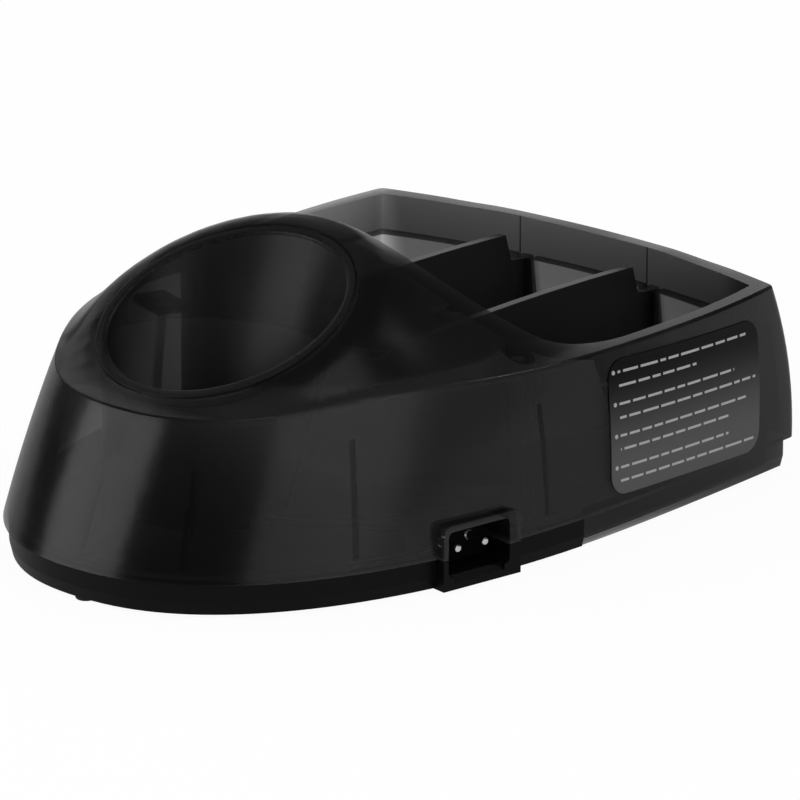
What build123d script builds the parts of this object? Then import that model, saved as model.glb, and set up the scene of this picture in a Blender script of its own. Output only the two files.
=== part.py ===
from build123d import *
from math import atan2, cos, exp, hypot, log, pi, radians, sin, sqrt
import os

os.makedirs("parts", exist_ok=True)

# Millimetres, +Z up. The nose with the clipper pocket points to -Y, the comb tray to +Y,
# and the charger inlet is on the +X side. Z = 0 is the table under the feet.

# Heights
foot_stand = 1.0            # the feet hold the base this far off the table
band_height = 6.0           # black band round the foot of the stand
side_height = 30.0          # skirt to the crease, on the long sides
seam_gap = 0.15             # shadow line between the band and the skirt

# Plan shape of the shell at the foot of the skirt, and how it leans in up to the crease
stand_length = 151.6
skirt_half_width = 53.5
skirt_widest_y = 25.0
rear_half_width = 52.6
nose_power = 2.25           # superellipse power of the nose
rear_bow = 6.8
corner_radius = 2.0
corner_least = 0.6          # rounding of the rear corners on inner walls
nose_lean = 14.4
side_lean = 1.9
rear_side_lean = 2.9
rear_lean = 3.4
widest_shift = 15.0         # the widest place moves back by this much at the crease
side_swell = 0.5            # the walls swell outwards half way up
rear_swell = 0.9            # and a little more at the rear corners

# Walls
shell_wall = 2.0
floor_wall = 1.8
seam_y = 7.0                # the black band ends here on each side
base_chamfer = 0.5          # the band is drawn in by this under its foot
base_chamfer_height = 2.2
tongue_height = 1.6
tongue_wall = 1.1
band_inset = 1.0            # the black band stands this far inside the skirt
plinth_inset = 1.4          # and the band behind the seam this far
plinth_wall = 2.4
fit_gap = 0.3               # between pieces that sit inside one another
cut_past = 1.0              # cuts run this far past what they cut

# Top surface: a flat margin along the crease and a leaning cone round the mouth
nose_drop = 2.8             # the crease falls by this much to the nose
nose_drop_power = 1.78
rear_rise = 0.5
mouth_y = -33.9
mouth_height = 44.5         # above the underside of the base
mouth_tilt = 24.0           # degrees, the mouth rises to the rear
mouth_radius = 25.0         # outside of the lip
mound_slope = 0.484         # rise of the mound to the rear
flank_slope = 0.88
flank_start = 3.2           # flat margin round the mouth
crown_softness = 0.9
foot_softness = 1.4
crease_round = 0.6
nose_drop_ahead = 1.3       # the drop is full this far ahead of the crease
block_over = 1.5            # the side walls lean up to this far over the crease
nose_points = 16            # points of the nose's curve
grid_rows = 36              # rows of points of the top surface over the dome
grid_tail_rows = 8          # and over the tray
grid_split_y = 16.0
grid_half_columns = 18
grid_margin = 4.0           # the top surface runs past the stand by this
grid_fit = 0.02
slope_step = 0.5            # for the slope of the top surface

# Pocket for the clipper
lip_width = 2.2
lip_height = 0.5
lip_seat = 0.9
lip_round_inside = 0.9
lip_round_outside = 0.4
mouth_clear = 12.0          # the mouth is cut free this far over its plane
pocket_wall = 1.4
pocket_floor_z = 14.0
pocket_floor_y = -42.0
pocket_floor_half_x = 17.5
pocket_floor_half_y = 13.6

# Comb tray
rim_width = 3.3
rim_band = 8.5              # depth of the thick band under the rim
tray_wall = 2.0             # tray wall below the band, which leans with the outside
tray_floor_z = 10.0
tray_arc_radius = 62.2
tray_arc_y = 55.0
tray_corner_radius = 22.0
tray_front_wall = 2.2

# Dividers between the comb compartments
divider_x = 16.05
divider_thickness = 1.7
divider_gap = 0.25
divider_top_below_rim = 2.2
divider_crown = 0.3         # the top edge is highest in the middle
divider_crown_y = 40.0
divider_rear_drop = 0.5
divider_notch_length = 6.0
divider_notch_depth = 1.7
divider_heel_drop = 9.1
divider_heel_rise = 0.9
divider_notch_round = 1.2
rib_width = 1.2
rib_setback = 0.3           # the rear ribs end this far behind the face of the band
rib_front = 1.8             # reach of the front ribs
groove_width = 0.3          # fine line on the band over each divider
groove_depth = 0.3

# Inlet for the charger plug
inlet_y = -21.0
inlet_face_x = 50.3
inlet_turn = 10.5           # degrees from the length of the stand
inlet_width = 14.3
inlet_height = 8.8
inlet_low_z = 3.4
inlet_depth = 7.0           # from the face of the collar to the insert
collar_front = 1.1          # collar beside the recess, nose side
collar_rear = 2.6
collar_top = 1.2
collar_corner = 1.8
collar_clear = 2.0          # the tongue keeps this far off the collar
recess_corner = 1.2
lip_chamfer = 1.5           # bevel of the lower lip, back from the face
lip_fall = 1.5              # and down it
lip_past = 0.5              # the bevel's cut starts this far ahead of the face
recess_past = 3.0
insert_thickness = 4.0
insert_gap = 0.12
pin_pitch = 6.35
pin_radius = 0.8
pin_root_radius = 1.0       # thicker where it is held in the insert
pin_tip_round = 0.4
pin_reach = 5.0             # free length in the recess
pin_tail = 2.5

# Screw bosses
boss_radius = 3.4
boss_sink = 0.5             # the rear bosses run into the tray floor by this
boss_bore = 1.25
boss_skin = 1.4             # left over the bore under the top surface
boss_ahead = 40.0, 1.5
boss_nose_y = -62.8
boss_nose_radius = 2.8
boss_nose_bore = 18.0       # the wall leans in over this boss
boss_behind = 38.0, 50.0
pad_height = 3.2            # screw pads of the base, over its underside
pad_radius = 4.0
screw_radius = 1.15
screw_head_radius = 2.6
screw_head_height = 1.6
screw_drive = 0.6
screw_length = 5.5
head_recess = 0.4
screw_drive_length = 2.0
screw_gap = 0.2             # round a screw's shank and head in its pad

# Ribs inside the skirt
web_thickness = 1.2
web_depth = 2.2
web_length = 16.0           # before it is cut to the wall
web_top = 30.0
web_heading = 0.8           # the ribs look at a point behind the nose's centre
web_places = (0.0, -74.0), (20.0, -68.0), (40.0, -43.0), (49.0, -1.5)

# Charging contacts under the pocket floor
contact_pitch = 9.0
contact_radius = 1.1
contact_reach = 1.8         # stands above the pocket floor
contact_travel = 1.5
contact_gap = 0.06
contact_round = 0.77
flange_radius = 1.7
collar_thickness = 0.8
spring_well = 1.9
spring_wire = 0.18          # radius of the wire
spring_radius = 1.35
spring_turns = 4
spring_length = 3.2
spring_gap = 0.02           # at each end of the coil
block_height = 6.0
block_length = 15.0
block_width = 11.0
block_gap = 0.05            # under the pocket floor
block_shank_gap = 0.15
thread_gap = 0.05
ear_gap = 0.1
ear_length = 26.0
ear_thickness = 1.9
ear_boss_radius = 2.3
terminal_thickness = 0.4
terminal_width = 4.0
terminal_length = 9.0
block_screw_x = 10.0
block_screw_radius = 0.9
block_screw_head = 1.7
block_screw_head_height = 1.2
block_screw_length = 4.5

# Leads from the inlet to the contacts
lead_radius = 0.65
lead_run = 5.0
lead_bend = 3.0
lead_lap = 2.5
lead_slack = 2.0

# Feet and label
foot_radius = 3.2
nose_foot_radius = 2.0
foot_gap = 0.1
foot_sink = 0.8
foot_round = 0.4
nose_foot_y = -71.8
foot_ahead = 40.0, -24.0
foot_behind = 40.0, 61.0
label_length = 44.0
label_height = 25.7
label_radius = 4.0
label_y = 35.5
label_z = 21.3
label_turn = -2.3           # degrees, down to the rear
label_thickness = 0.2
label_lift = 0.02

# Clip arms of the liner and hooks of the shell, under the dome
arm_z = 40.5
arm_angle = 20.0
arm_length = 10.5
arm_root = 3.0              # the arms start this far inside the pocket wall
hook_place = 30.0, -9.5
hook_length = 9.0
hook_width = 6.4
hook_slot = 2.8
hook_thickness = 1.4

# Places that follow from the sizes above
on_floor = (Align.CENTER, Align.CENTER, Align.MIN)
base_z = foot_stand
skirt_z = base_z + band_height
crease_z = skirt_z + side_height
block_z = crease_z + block_over
half_length = stand_length / 2
mouth_z = base_z + mouth_height
cap_z = mouth_z + mouth_radius
tilt = radians(mouth_tilt)
mouth_plane = Plane(origin=(0, mouth_y, mouth_z), x_dir=(1, 0, 0), z_dir=(0, -sin(tilt), cos(tilt)))
rim_z = crease_z + rear_rise
band_low_z = rim_z - rim_band
floor_top = base_z + floor_wall
turn = radians(inlet_turn)
inlet_out = Vector(cos(turn), -sin(turn), 0)
inlet_along = Vector(sin(turn), cos(turn), 0)
inlet_origin = Vector(inlet_face_x, inlet_y, 0)
inlet_plane = Plane(origin=inlet_origin, x_dir=inlet_along, z_dir=inlet_out)


def outline(level, inset=0.0, height=None):
    """Plan shape of the shell at one level, drawn in by an inset, at that level or another height."""
    lean = (level - skirt_z) / side_height
    bulge = 4 * lean * (1 - lean)
    grow = side_swell * bulge - inset
    rear_grow = rear_swell * bulge - inset
    half_width = skirt_half_width - side_lean * lean + grow
    widest = skirt_widest_y + widest_shift * lean
    nose_run = widest + half_length - nose_lean * lean + grow
    rear = half_length - rear_lean * lean + rear_grow
    corner_x = rear_half_width - rear_side_lean * lean + rear_grow
    corner_y = rear - rear_bow
    nose = []
    for step in range(nose_points + 1):
        angle = pi * step / nose_points
        across = abs(cos(angle)) ** (2 / nose_power) * (1 if step * 2 < nose_points else -1)
        if step * 2 == nose_points:
            across = 0
        nose.append((half_width * across, widest - nose_run * sin(angle) ** (2 / nose_power)))
    with BuildSketch(Plane.XY.offset(level if height is None else height)) as plan:
        with BuildLine():
            Spline(*nose, tangents=[(0, -1), (0, 1)])
            TangentArc((-half_width, widest), (-corner_x, corner_y), tangent=(0, 1))
            ThreePointArc((-corner_x, corner_y), (0, rear), (corner_x, corner_y))
            TangentArc((half_width, widest), (corner_x, corner_y), tangent=(0, 1))
        make_face()
        fillet(plan.vertices().group_by(Axis.Y)[-1], radius=max(corner_radius - inset, corner_least))
    return plan.sketch


def rear_face(level, x, inset):
    """Where the rear wall, drawn in by an inset, stands at a level and a distance from the middle."""
    lean = (level - skirt_z) / side_height
    rear = half_length - rear_lean * lean + rear_swell * 4 * lean * (1 - lean) - inset
    return rear - rear_bow * (x / rear_half_width) ** 2


def side_block(inset=0.0, low=skirt_z):
    """Everything inside the leaning side walls, up to above the dome."""
    with BuildPart() as block:
        loft([outline(low, inset), outline((low + block_z) / 2, inset), outline(block_z, inset)])
        extrude(outline(block_z, inset), amount=cap_z - block_z)
    return block.part


def soft_top(value, softness):
    """Zero for negative values and the value itself for positive ones, with a soft bend."""
    if value > 40 * softness:
        return value
    return softness * log(1 + exp(value / softness))


def top_height(x, y):
    """Height of the outer top surface of the shell."""
    edge = crease_z + rear_rise * max(y, 0) / half_length
    if y < 0:
        edge -= nose_drop * (-y / (half_length - nose_lean + nose_drop_ahead)) ** nose_drop_power
    away = y - mouth_y
    reach = hypot(x, away)
    rim = mouth_radius
    if reach > 0:
        rim = 1 / hypot(x / reach / mouth_radius, away / reach / (mouth_radius * cos(tilt)))
    drop = flank_slope * soft_top(reach - rim - flank_start, crown_softness)
    mound = mouth_z + mound_slope * away - drop
    return edge + soft_top(mound - edge, foot_softness)


def top_block(depth=0.0):
    """Everything under the top surface, lowered by a wall thickness square to it."""
    front = -half_length - grid_margin
    places = [front + (grid_split_y - front) * row / grid_rows for row in range(grid_rows + 1)]
    tail = (half_length + grid_margin - grid_split_y) / grid_tail_rows
    places += [grid_split_y + tail * row for row in range(1, grid_tail_rows + 1)]
    rows = []
    for y in places:
        points = []
        for column in range(-grid_half_columns, grid_half_columns + 1):
            x = (skirt_half_width + grid_margin) * column / grid_half_columns
            z = top_height(x, y)
            slope_x = (top_height(x + slope_step, y) - top_height(x - slope_step, y)) / (2 * slope_step)
            slope_y = (top_height(x, y + slope_step) - top_height(x, y - slope_step)) / (2 * slope_step)
            points.append(Vector(x, y, z - depth * sqrt(1 + slope_x ** 2 + slope_y ** 2)))
        rows.append(points)
    surface = Face.make_surface_from_array_of_points(rows, tol=grid_fit)
    with BuildPart() as block:
        extrude(surface, amount=cap_z, dir=(0, 0, -1))
    return block.part


def form(inset=0.0, depth=0.0):
    """Side walls and top surface together."""
    sides = side_block(inset)
    top = top_block(depth)
    with BuildPart() as body:
        add(sides)
        add(top, mode=Mode.INTERSECT)
    return body.part


def tray_block(low, high, inset, wall=0.0, leaning=False):
    """Space of the comb tray with its curved front, grown by a wall. Its sides stand upright or lean."""
    sides = side_block(inset - wall) if leaning else extrude(outline(crease_z, inset - wall, low), high - low)
    with BuildPart() as block:
        add(sides)
        with Locations((0, tray_arc_y, low)):
            Cylinder(tray_arc_radius + wall, high - low, align=on_floor, mode=Mode.INTERSECT)
        upright = block.edges().filter_by(lambda edge: abs((edge @ 1 - edge @ 0).Z) > (high - low) / 2)
        fillet(upright.sort_by(Axis.Y)[:2], tray_corner_radius + wall)
    return block.part


def pocket_form(radius, floor_z, half_x, half_y, above=0.0):
    """Tapered pocket from the tilted mouth down to its level floor."""
    with BuildPart() as cup:
        with BuildSketch(Plane.XY.offset(floor_z)) as low:
            with Locations((0, pocket_floor_y)):
                Ellipse(half_x, half_y)
        with BuildSketch(mouth_plane) as high:
            Circle(radius)
        loft([low.sketch, high.sketch])
        if above:
            extrude(high.sketch, amount=above)
    return cup.part


def inlet_box(front, back, low, high, outside, inside, radius=0.0):
    """Box set by places along the wall, in height, and in depth from the inlet's face."""
    middle = inlet_origin + inlet_along * ((front + back) / 2) + Vector(0, 0, (low + high) / 2)
    plane = Plane(origin=middle + inlet_out * outside, x_dir=inlet_along, z_dir=inlet_out)
    with BuildPart() as box:
        with BuildSketch(plane):
            if radius:
                RectangleRounded(back - front, high - low, radius)
            else:
                Rectangle(back - front, high - low)
        extrude(amount=inside - outside)
    return box.part


def columns(places, radius, low, high):
    """Upright round columns."""
    with BuildPart() as group:
        with Locations(*[(x, y, low) for x, y in places]):
            Cylinder(radius, high - low, align=on_floor)
    return group.part


def both_sides(place):
    """A place and its mirror image on the other side."""
    return [place, (-place[0], place[1])]


# Screw places
ahead_places = both_sides(boss_ahead)
behind_places = both_sides(boss_behind)
nose_places = [(0.0, boss_nose_y)]
screw_places = nose_places + ahead_places + behind_places
pad_top = base_z + pad_height
boss_low = pad_top + seam_gap
side_feet = both_sides(foot_ahead) + both_sides(foot_behind)
tray_under = tray_floor_z - floor_wall

# Inlet places
inlet_half = inlet_width / 2
inlet_top_z = inlet_low_z + inlet_height
inlet_middle_z = inlet_low_z + inlet_height / 2
inlet_back = inlet_depth + insert_thickness
collar_sides = -inlet_half - collar_front, inlet_half + collar_rear
collar = inlet_box(*collar_sides, base_z, inlet_top_z + collar_top, 0, -inlet_back, collar_corner)
collar_foot = inlet_box(*collar_sides, base_z, skirt_z - seam_gap, 0, -inlet_back)
recess = inlet_box(-inlet_half, inlet_half, inlet_low_z, inlet_top_z,
                   recess_past, -inlet_back - cut_past, recess_corner)

# Whole forms that several pieces share
with BuildPart() as rounded:
    add(form())
    fillet(rounded.edges().filter_by(lambda edge: edge.bounding_box().min.Z > web_top), crease_round)
outer = rounded.part
inner = form(shell_wall, shell_wall)
tray_behind = tray_block(base_z, cap_z, 0, tray_front_wall)
tray_upper = tray_block(band_low_z, cap_z, rim_width)
tray_lower = tray_block(tray_floor_z, band_low_z, tray_wall, leaning=True)
inner_radius = mouth_radius - lip_width
liner_radius = inner_radius + pocket_wall
liner_under_z = pocket_floor_z - floor_wall
liner_solid = pocket_form(liner_radius, liner_under_z, pocket_floor_half_x + pocket_wall,
                          pocket_floor_half_y + pocket_wall)
liner_space = pocket_form(inner_radius, pocket_floor_z, pocket_floor_half_x, pocket_floor_half_y,
                          mouth_clear)
mouth_hole = pocket_form(liner_radius + fit_gap, liner_under_z - fit_gap,
                         pocket_floor_half_x + pocket_wall + fit_gap,
                         pocket_floor_half_y + pocket_wall + fit_gap, mouth_clear)

with BuildPart() as nose_cavity:
    add(inner)
    add(tray_behind, mode=Mode.SUBTRACT)

with BuildPart() as under_cavity:
    extrude(outline(skirt_z, shell_wall, skirt_z - cut_past), amount=tray_under - skirt_z + cut_past)

# Seat for the lip round the mouth
with BuildPart() as lip_seat_cut:
    with BuildSketch(mouth_plane.offset(-lip_seat)):
        Circle(mouth_radius + seam_gap)
    extrude(amount=mouth_clear)

# Ribs inside the skirt, square to the wall
tongue_z = skirt_z + tongue_height
web_low = tongue_z + fit_gap
with BuildPart() as webs:
    for x, y in web_places:
        heading = atan2(y * web_heading, x)
        for side in ([1, -1] if x else [1]):
            web_plane = Plane(origin=(side * x, y, web_low), x_dir=(side * cos(heading), sin(heading), 0))
            with BuildSketch(web_plane):
                Rectangle(web_length, web_thickness)
            extrude(amount=web_top - web_low)
web_outside = side_block(shell_wall / 2)
web_inside = side_block(shell_wall + web_depth)
with BuildPart() as ribs:
    add(webs.part)
    add(web_outside, mode=Mode.INTERSECT)
    add(web_inside, mode=Mode.SUBTRACT)

# Bosses that hang from the top of the shell
ahead_columns = columns(ahead_places, boss_radius, boss_low, cap_z)
nose_column = columns(nose_places, boss_nose_radius, boss_low, cap_z)
boss_sides = side_block(shell_wall / 2, boss_low)
boss_top = top_block(shell_wall / 2)
with BuildPart() as bosses:
    add(ahead_columns)
    add(nose_column)
    add(boss_sides, mode=Mode.INTERSECT)
    add(boss_top, mode=Mode.INTERSECT)
rear_columns = columns(behind_places, boss_radius, boss_low, tray_under + boss_sink)
bores = []
for place in ahead_places:
    bore_top = top_height(*place) - shell_wall - boss_skin
    bores.append(columns([place], boss_bore, boss_low - cut_past, bore_top))
bores.append(columns(nose_places, boss_bore, boss_low - cut_past, boss_low + boss_nose_bore))
bores.append(columns(behind_places, boss_bore, boss_low - cut_past, tray_under + floor_wall / 2))

# Guide ribs for the dividers on the front and rear walls of the tray, and their slots
slot_half = divider_thickness / 2 + divider_gap
guide_height = band_low_z - tray_floor_z
groove_y = rear_face(crease_z, divider_x, rim_width)
guide_reach = tray_block(skirt_z + cut_past, crease_z - cut_past, tray_wall, tray_wall / 2, leaning=True)
guide_core = tray_block(skirt_z, crease_z, rim_width - rib_setback - rib_front, -rib_front)
divider_places = [(side * divider_x, 0, tray_floor_z) for side in (-1, 1)]
with BuildPart() as guide_ribs:
    with Locations(*divider_places):
        Box(2 * (slot_half + rib_width), stand_length, guide_height, align=on_floor)
    add(guide_reach, mode=Mode.INTERSECT)
    add(guide_core, mode=Mode.SUBTRACT)
with BuildPart() as slots:
    with Locations(*divider_places):
        Box(2 * slot_half, 2 * stand_length, guide_height, align=on_floor)
    add(tray_lower, mode=Mode.INTERSECT)
    with Locations(*[(x, groove_y, band_low_z) for x, _, _ in divider_places]):
        Box(groove_width, 2 * groove_depth, rim_band, align=on_floor)

# Band behind the seam, which the shell itself carries
with BuildPart() as plinth:
    extrude(outline(skirt_z, plinth_inset, base_z), amount=tray_under - base_z)
    plinth_foot = plinth.faces().sort_by(Axis.Z)[0]
    chamfer(plinth_foot.outer_wire().edges(), base_chamfer, base_chamfer_height, reference=plinth_foot)
    extrude(outline(skirt_z, plinth_inset + plinth_wall, base_z), amount=cap_z, mode=Mode.SUBTRACT)
    with Locations((0, seam_y, base_z)):
        Box(stand_length, stand_length, cap_z, align=(Align.CENTER, Align.MAX, Align.MIN), mode=Mode.SUBTRACT)

with BuildPart() as collar_head:
    add(collar)
    with Locations(inlet_origin):
        Box(stand_length, stand_length, 2 * skirt_z, mode=Mode.SUBTRACT)

# Hooks under the dome, in front of the tray
hook_z = top_height(*hook_place) - shell_wall
with BuildPart() as hooks:
    for x, y in both_sides(hook_place):
        with BuildSketch(Plane.XY.offset(hook_z)):
            with Locations((x, y + hook_length / 2)):
                Rectangle(hook_width, hook_length)
            with Locations((x, y + hook_slot / 2 + hook_thickness)):
                Rectangle(hook_width - 2 * hook_thickness, hook_slot, mode=Mode.SUBTRACT)
        extrude(amount=-hook_thickness)
    add(boss_top, mode=Mode.INTERSECT)
    add(tray_upper, mode=Mode.SUBTRACT)

with BuildPart() as upper_housing:
    add(outer)
    add(nose_cavity.part, mode=Mode.SUBTRACT)
    add(under_cavity.part, mode=Mode.SUBTRACT)
    add(tray_upper, mode=Mode.SUBTRACT)
    add(tray_lower, mode=Mode.SUBTRACT)
    add(ribs.part)
    add(bosses.part)
    add(rear_columns)
    add(guide_ribs.part)
    add(slots.part, mode=Mode.SUBTRACT)
    add(plinth.part)
    add(hooks.part)
    add(collar_head.part)
    add(recess, mode=Mode.SUBTRACT)
    add(mouth_hole, mode=Mode.SUBTRACT)
    add(lip_seat_cut.part, mode=Mode.SUBTRACT)
    add(bores, mode=Mode.SUBTRACT)
upper_housing.part.label = "upper_housing"
export_step(upper_housing.part, "parts/upper_housing.step")

# Pocket liner with its lip, the arms of its clips and the bosses of the contact block
mouth_side = Plane(origin=mouth_plane.origin, x_dir=(1, 0, 0), z_dir=(0, -cos(tilt), -sin(tilt)))
block_screw_places = [(side * block_screw_x, pocket_floor_y) for side in (-1, 1)]
contact_places = [(side * contact_pitch / 2, pocket_floor_y) for side in (-1, 1)]
ear_top = liner_under_z - block_height + ear_thickness
arm_heading = radians(arm_angle)
with BuildPart() as arms:
    for side in (1, -1):
        toward = Vector(side * cos(arm_heading), sin(arm_heading), 0)
        start = Vector(0, mouth_y, arm_z) + toward * (liner_radius - arm_root)
        with BuildSketch(Plane(origin=start, x_dir=toward, z_dir=(0, 0, 1))):
            with Locations((arm_length / 2, 0)):
                Rectangle(arm_length, hook_width)
            with Locations((arm_length - hook_thickness - hook_slot / 2, 0)):
                Rectangle(hook_slot, hook_width - 2 * hook_thickness, mode=Mode.SUBTRACT)
        extrude(amount=-hook_thickness)
with BuildPart() as pocket_liner:
    add(liner_solid)
    add(arms.part)
    with BuildSketch(mouth_side) as lip_profile:
        with Locations((inner_radius, -lip_seat)):
            Rectangle(lip_width, lip_seat + lip_height, align=(Align.MIN, Align.MIN))
        lip_corners = lip_profile.vertices().group_by(Axis.Y)[-1].sort_by(Axis.X)
        fillet(lip_corners[0], lip_round_inside)
        fillet(lip_profile.vertices().group_by(Axis.Y)[-1].sort_by(Axis.X)[-1], lip_round_outside)
    revolve(axis=Axis(mouth_plane.origin, mouth_plane.z_dir))
    add(liner_space, mode=Mode.SUBTRACT)
    with Locations(*[(x, y, ear_top + ear_gap) for x, y in block_screw_places]):
        Cylinder(ear_boss_radius, liner_under_z - ear_top, align=on_floor)
        Cylinder(block_screw_radius + thread_gap, liner_under_z - ear_top + floor_wall / 2,
                 align=on_floor, mode=Mode.SUBTRACT)
    with Locations(*[(x, y, liner_under_z - cut_past) for x, y in contact_places]):
        Cylinder(contact_radius + contact_gap, floor_wall + 2 * cut_past, align=on_floor, mode=Mode.SUBTRACT)
pocket_liner.part.label = "pocket_liner"
export_step(pocket_liner.part, "parts/pocket_liner.step")

# Base cover: floor, black band round the nose, tongue inside the skirt and foot of the inlet
with BuildPart() as rear_trim:
    with Locations((0, seam_y - seam_gap, 0)):
        Box(2 * stand_length, stand_length, cap_z, align=(Align.CENTER, Align.MIN, Align.MIN))
    extrude(outline(skirt_z, plinth_inset + plinth_wall + fit_gap, 0), amount=cap_z, mode=Mode.SUBTRACT)
with BuildPart() as tongue:
    extrude(outline(tongue_z, shell_wall + fit_gap, skirt_z - cut_past), amount=tongue_height + cut_past)
    extrude(outline(tongue_z, shell_wall + fit_gap + tongue_wall, skirt_z - cut_past), amount=cap_z,
            mode=Mode.SUBTRACT)
    with Locations((0, seam_y - fit_gap, 0)):
        Box(2 * stand_length, stand_length, cap_z,
            align=(Align.CENTER, Align.MIN, Align.MIN), mode=Mode.SUBTRACT)
    with Locations(inlet_plane):
        Box(inlet_width + 2 * collar_rear + collar_clear, stand_length, stand_length, mode=Mode.SUBTRACT)
lip_plane = Plane(origin=inlet_origin - inlet_along * (inlet_half - recess_corner),
                  x_dir=inlet_out, z_dir=-inlet_along)
with BuildPart() as lip_wedge:
    with BuildSketch(lip_plane):
        with BuildLine():
            Polyline((-lip_chamfer, inlet_low_z), (lip_past, inlet_low_z - lip_fall),
                     (lip_past, inlet_low_z + cut_past), (-lip_chamfer, inlet_low_z + cut_past), close=True)
        make_face()
    extrude(amount=-(inlet_width - 2 * recess_corner))
with BuildPart() as base_cover:
    extrude(outline(skirt_z, band_inset, base_z), amount=band_height - seam_gap)
    cover_foot = base_cover.faces().sort_by(Axis.Z)[0]
    chamfer(cover_foot.outer_wire().edges(), base_chamfer, base_chamfer_height, reference=cover_foot)
    extrude(outline(skirt_z, band_inset + plinth_wall, floor_top), amount=cap_z, mode=Mode.SUBTRACT)
    add(rear_trim.part, mode=Mode.SUBTRACT)
    add(tongue.part)
    add(collar_foot)
    add(recess, mode=Mode.SUBTRACT)
    add(lip_wedge.part, mode=Mode.SUBTRACT)
    with Locations(*[(x, y, base_z) for x, y in screw_places]):
        Cylinder(pad_radius, pad_height, align=on_floor)
        Cylinder(screw_head_radius + screw_gap, screw_head_height + head_recess,
                 align=on_floor, mode=Mode.SUBTRACT)
        Cylinder(screw_radius + screw_gap, pad_height, align=on_floor, mode=Mode.SUBTRACT)
    with Locations(*[(x, y, base_z) for x, y in side_feet]):
        Cylinder(foot_radius + foot_gap, foot_sink, align=on_floor, mode=Mode.SUBTRACT)
    with Locations((0, nose_foot_y, base_z)):
        Cylinder(nose_foot_radius + foot_gap, foot_sink, align=on_floor, mode=Mode.SUBTRACT)
base_cover.part.label = "base_cover"
export_step(base_cover.part, "parts/base_cover.step")

# Dividers, whose heels sit under the band of the rim
divider_top = rim_z - divider_top_below_rim
divider_front_y = tray_arc_y - sqrt(tray_arc_radius ** 2 - divider_x ** 2) + fit_gap
heel_z = rim_z - divider_heel_drop
heel_y = rear_face(heel_z, divider_x + divider_thickness, tray_wall) - fit_gap
heel_low_y = rear_face(tray_floor_z, divider_x + divider_thickness, tray_wall) - fit_gap
notch_y = heel_y - divider_notch_length
notch_z = heel_z + divider_heel_rise
for side, name in ((-1, "left_divider"), (1, "right_divider")):
    with BuildPart() as divider:
        with BuildSketch(Plane(origin=(side * divider_x - divider_thickness / 2, 0, 0),
                               x_dir=(0, 1, 0), z_dir=(1, 0, 0))) as side_plate:
            with BuildLine():
                Polyline((divider_front_y, divider_top - divider_crown),
                         (divider_front_y, tray_floor_z + seam_gap),
                         (heel_low_y, tray_floor_z + seam_gap), (heel_y, heel_z), (notch_y, notch_z),
                         (notch_y - divider_notch_depth, divider_top - divider_rear_drop))
                ThreePointArc((notch_y - divider_notch_depth, divider_top - divider_rear_drop),
                              (divider_crown_y, divider_top + divider_crown),
                              (divider_front_y, divider_top - divider_crown))
            make_face()
            notch = side_plate.vertices().sort_by_distance((divider_x * side, notch_y, notch_z))[0]
            fillet(notch, divider_notch_round)
        extrude(amount=divider_thickness)
    divider.part.label = name
    export_step(divider.part, f"parts/{name}.step")

# Blank instruction label on the side wall
label_plane = Plane(origin=(0, label_y, label_z), x_dir=(0, 1, 0), z_dir=(1, 0, 0))
label_outside = side_block(-label_thickness - label_lift)
label_inside = side_block(-label_lift)
with BuildPart() as side_label:
    with BuildSketch(label_plane):
        with Locations(Location((0, 0, 0), (0, 0, label_turn))):
            RectangleRounded(label_length, label_height, label_radius)
    extrude(amount=stand_length)
    add(label_outside, mode=Mode.INTERSECT)
    add(label_inside, mode=Mode.SUBTRACT)
side_label.part.label = "side_label"
export_step(side_label.part, "parts/side_label.step")

# Inlet insert and its two pins
pin_shifts = {"front": -pin_pitch / 2, "rear": pin_pitch / 2}
pin_planes = {}
for name, shift in pin_shifts.items():
    seat = inlet_origin + inlet_along * shift + Vector(0, 0, inlet_middle_z)
    pin_planes[name] = Plane(origin=seat, x_dir=inlet_along, z_dir=inlet_out)
insert = inlet_box(-inlet_half + insert_gap, inlet_half - insert_gap, inlet_low_z + insert_gap,
                   inlet_top_z - insert_gap, -inlet_depth, -inlet_back, recess_corner - insert_gap)
with BuildPart() as inlet_insert:
    add(insert)
    for plane in pin_planes.values():
        with BuildSketch(plane.offset(-inlet_depth)):
            Circle(pin_root_radius)
        extrude(amount=-insert_thickness, mode=Mode.SUBTRACT)
inlet_insert.part.label = "inlet_insert"
export_step(inlet_insert.part, "parts/inlet_insert.step")
for name, plane in pin_planes.items():
    with BuildPart() as pin:
        with BuildSketch(plane.offset(-inlet_back - pin_tail)):
            Circle(pin_root_radius)
        extrude(amount=pin_tail + insert_thickness)
        with BuildSketch(plane.offset(-inlet_depth)):
            Circle(pin_radius)
        extrude(amount=pin_reach)
        fillet(pin.faces().sort_by(Axis.X)[-1].edges(), pin_tip_round)
    pin.part.label = f"inlet_pin_{name}"
    export_step(pin.part, f"parts/inlet_pin_{name}.step")

# Contact block under the pocket floor
block_top = liner_under_z - block_gap
block_low = liner_under_z - block_height
shoulder_z = block_low + spring_length + collar_thickness + contact_gap
with BuildPart() as contact_block:
    with Locations((0, pocket_floor_y, block_low)):
        Box(block_length, block_width, block_top - block_low, align=on_floor)
        Box(ear_length, block_width, ear_thickness, align=on_floor)
    with Locations(*[(x, y, block_low) for x, y in contact_places]):
        Cylinder(spring_well, shoulder_z - block_low, align=on_floor, mode=Mode.SUBTRACT)
        Cylinder(contact_radius + contact_gap, block_height, align=on_floor, mode=Mode.SUBTRACT)
    with Locations(*[(x, y, block_low) for x, y in block_screw_places]):
        Cylinder(block_screw_radius + block_shank_gap, ear_thickness, align=on_floor, mode=Mode.SUBTRACT)
contact_block.part.label = "contact_block"
export_step(contact_block.part, "parts/contact_block.step")

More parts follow.
